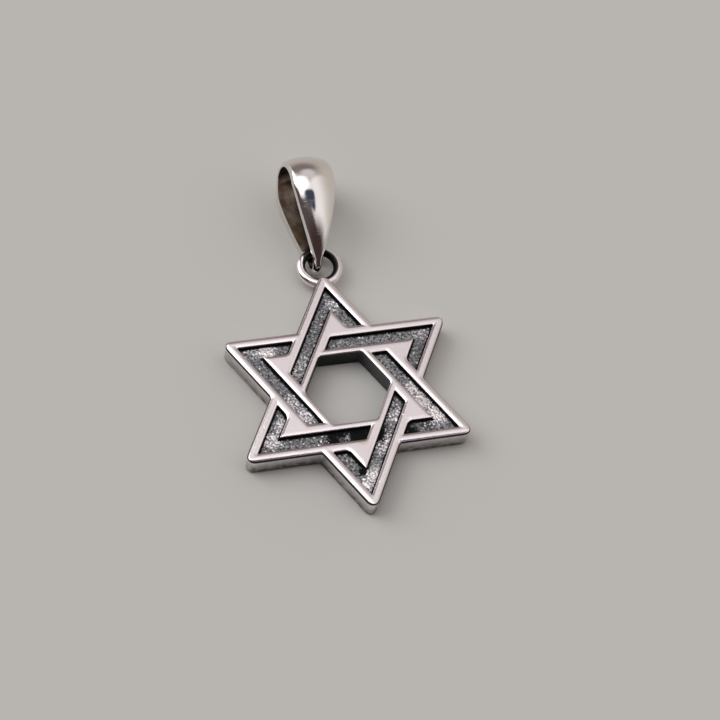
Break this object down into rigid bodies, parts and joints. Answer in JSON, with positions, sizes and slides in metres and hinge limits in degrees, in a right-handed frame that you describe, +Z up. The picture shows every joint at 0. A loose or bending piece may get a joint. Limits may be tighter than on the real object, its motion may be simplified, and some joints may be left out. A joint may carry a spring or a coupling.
{
  "type": "star of david pendant",
  "caption": "Cast silver Star of David pendant of interlaced triangles, with blackened channels, a hexagonal opening, a soldered eye and a folded, tapered bail for a chain.",
  "frame": {"origin": "on the surface that the pendant lies on, below the middle of the whole pendant's box", "axes": "+Y along the pendant, from the star's lowest tip to the bail; +Z up, out of the star's front face; +X across the star, to the right seen from the front"},
  "size_m": [0.0166, 0.0288, 0.0053],
  "materials": {
    "star_silver": "cast silver: polished rims and walls with soft edges, sunk channels blackened and grainy, with worn bright patches",
    "bail_silver": "mirror-polished silver sheet, darker and warmer inside the loop"
  },
  "bodies": {
    "root": {"star": "star_silver", "bail": "bail_silver"}
  },
  "joints": []
}
